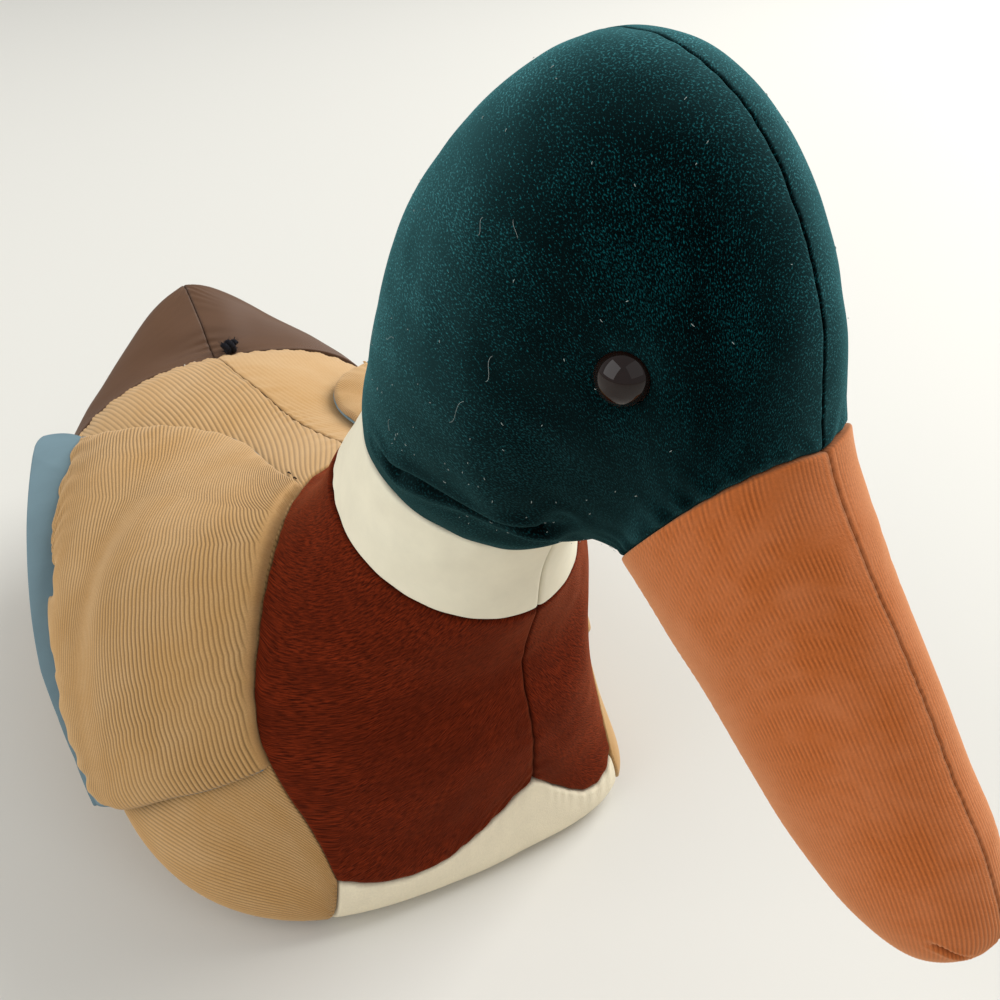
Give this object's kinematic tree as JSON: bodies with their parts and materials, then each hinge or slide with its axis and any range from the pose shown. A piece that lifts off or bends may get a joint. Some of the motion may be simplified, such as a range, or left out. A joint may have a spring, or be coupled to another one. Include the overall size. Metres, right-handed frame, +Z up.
{
  "type": "plush duck",
  "caption": "Stuffed mallard drake of sewn cloth panels on a flat felt belly, with a turned head, long bill and two flap wings that lift.",
  "frame": {"origin": "centre of the bounding box at the level of the belly's flat underside", "axes": "+Z up, the body's length along Y with the tail towards +Y, the duck's right side towards -X; the head faces -Y, turned 10 degrees to its left"},
  "size_m": [0.2102, 0.4508, 0.2892],
  "materials": {
    "teal_velvet": "short-pile velvet with a sheen",
    "orange_velour": "ribbed velour, soft nap",
    "cream_cotton": "smooth woven cotton",
    "rust_mohair": "short combed pile",
    "tan_corduroy": "14-wale corduroy",
    "cream_felt": "matt felt",
    "brown_cotton": "polished cotton, slight sheen",
    "blue_cotton": "smooth woven cotton",
    "wadding": "soft polyester wadding",
    "fibre_stuffing": "loose polyester fibre",
    "eye_plastic": "polished",
    "washer_plastic": "moulded, matt",
    "black_yarn": "twisted yarn"
  },
  "bodies": {
    "duck": {"back_panel_left": "tan_corduroy", "back_panel_right": "tan_corduroy", "belly_panel": "cream_felt", "bill_panel_left": "orange_velour", "bill_panel_right": "orange_velour", "bill_stuffing": "fibre_stuffing", "body_stuffing": "fibre_stuffing", "chest_panel_left": "rust_mohair", "chest_panel_right": "rust_mohair", "collar_left": "cream_cotton", "collar_right": "cream_cotton", "eye_left": "eye_plastic", "eye_right": "eye_plastic", "eye_washer_left": "washer_plastic", "eye_washer_right": "washer_plastic", "head_panel_left": "teal_velvet", "head_panel_right": "teal_velvet", "head_stuffing": "fibre_stuffing", "neck_stuffing": "fibre_stuffing", "tail_curl": "black_yarn", "tail_panel_left": "brown_cotton", "tail_panel_right": "brown_cotton"},
    "wing_right": {"wing_cover_right": "tan_corduroy", "wing_lining_right": "blue_cotton", "wing_wadding_right": "wadding"},
    "wing_left": {"wing_cover_left": "tan_corduroy", "wing_lining_left": "blue_cotton", "wing_wadding_left": "wadding"}
  },
  "joints": [
    {"name": "wing_right_lift", "type": "hinge", "parent": "duck", "child": "wing_right", "pos_m": [-0.00487, 0.01271, 0.12918], "axis": [0.3575, 0.6312, 0.6884], "range_deg": [0, 15]},
    {"name": "wing_left_lift", "type": "hinge", "parent": "duck", "child": "wing_left", "pos_m": [0.08285, -0.03642, 0.09237], "axis": [0.1876, -0.7052, -0.6837], "range_deg": [0, 15]}
  ]
}
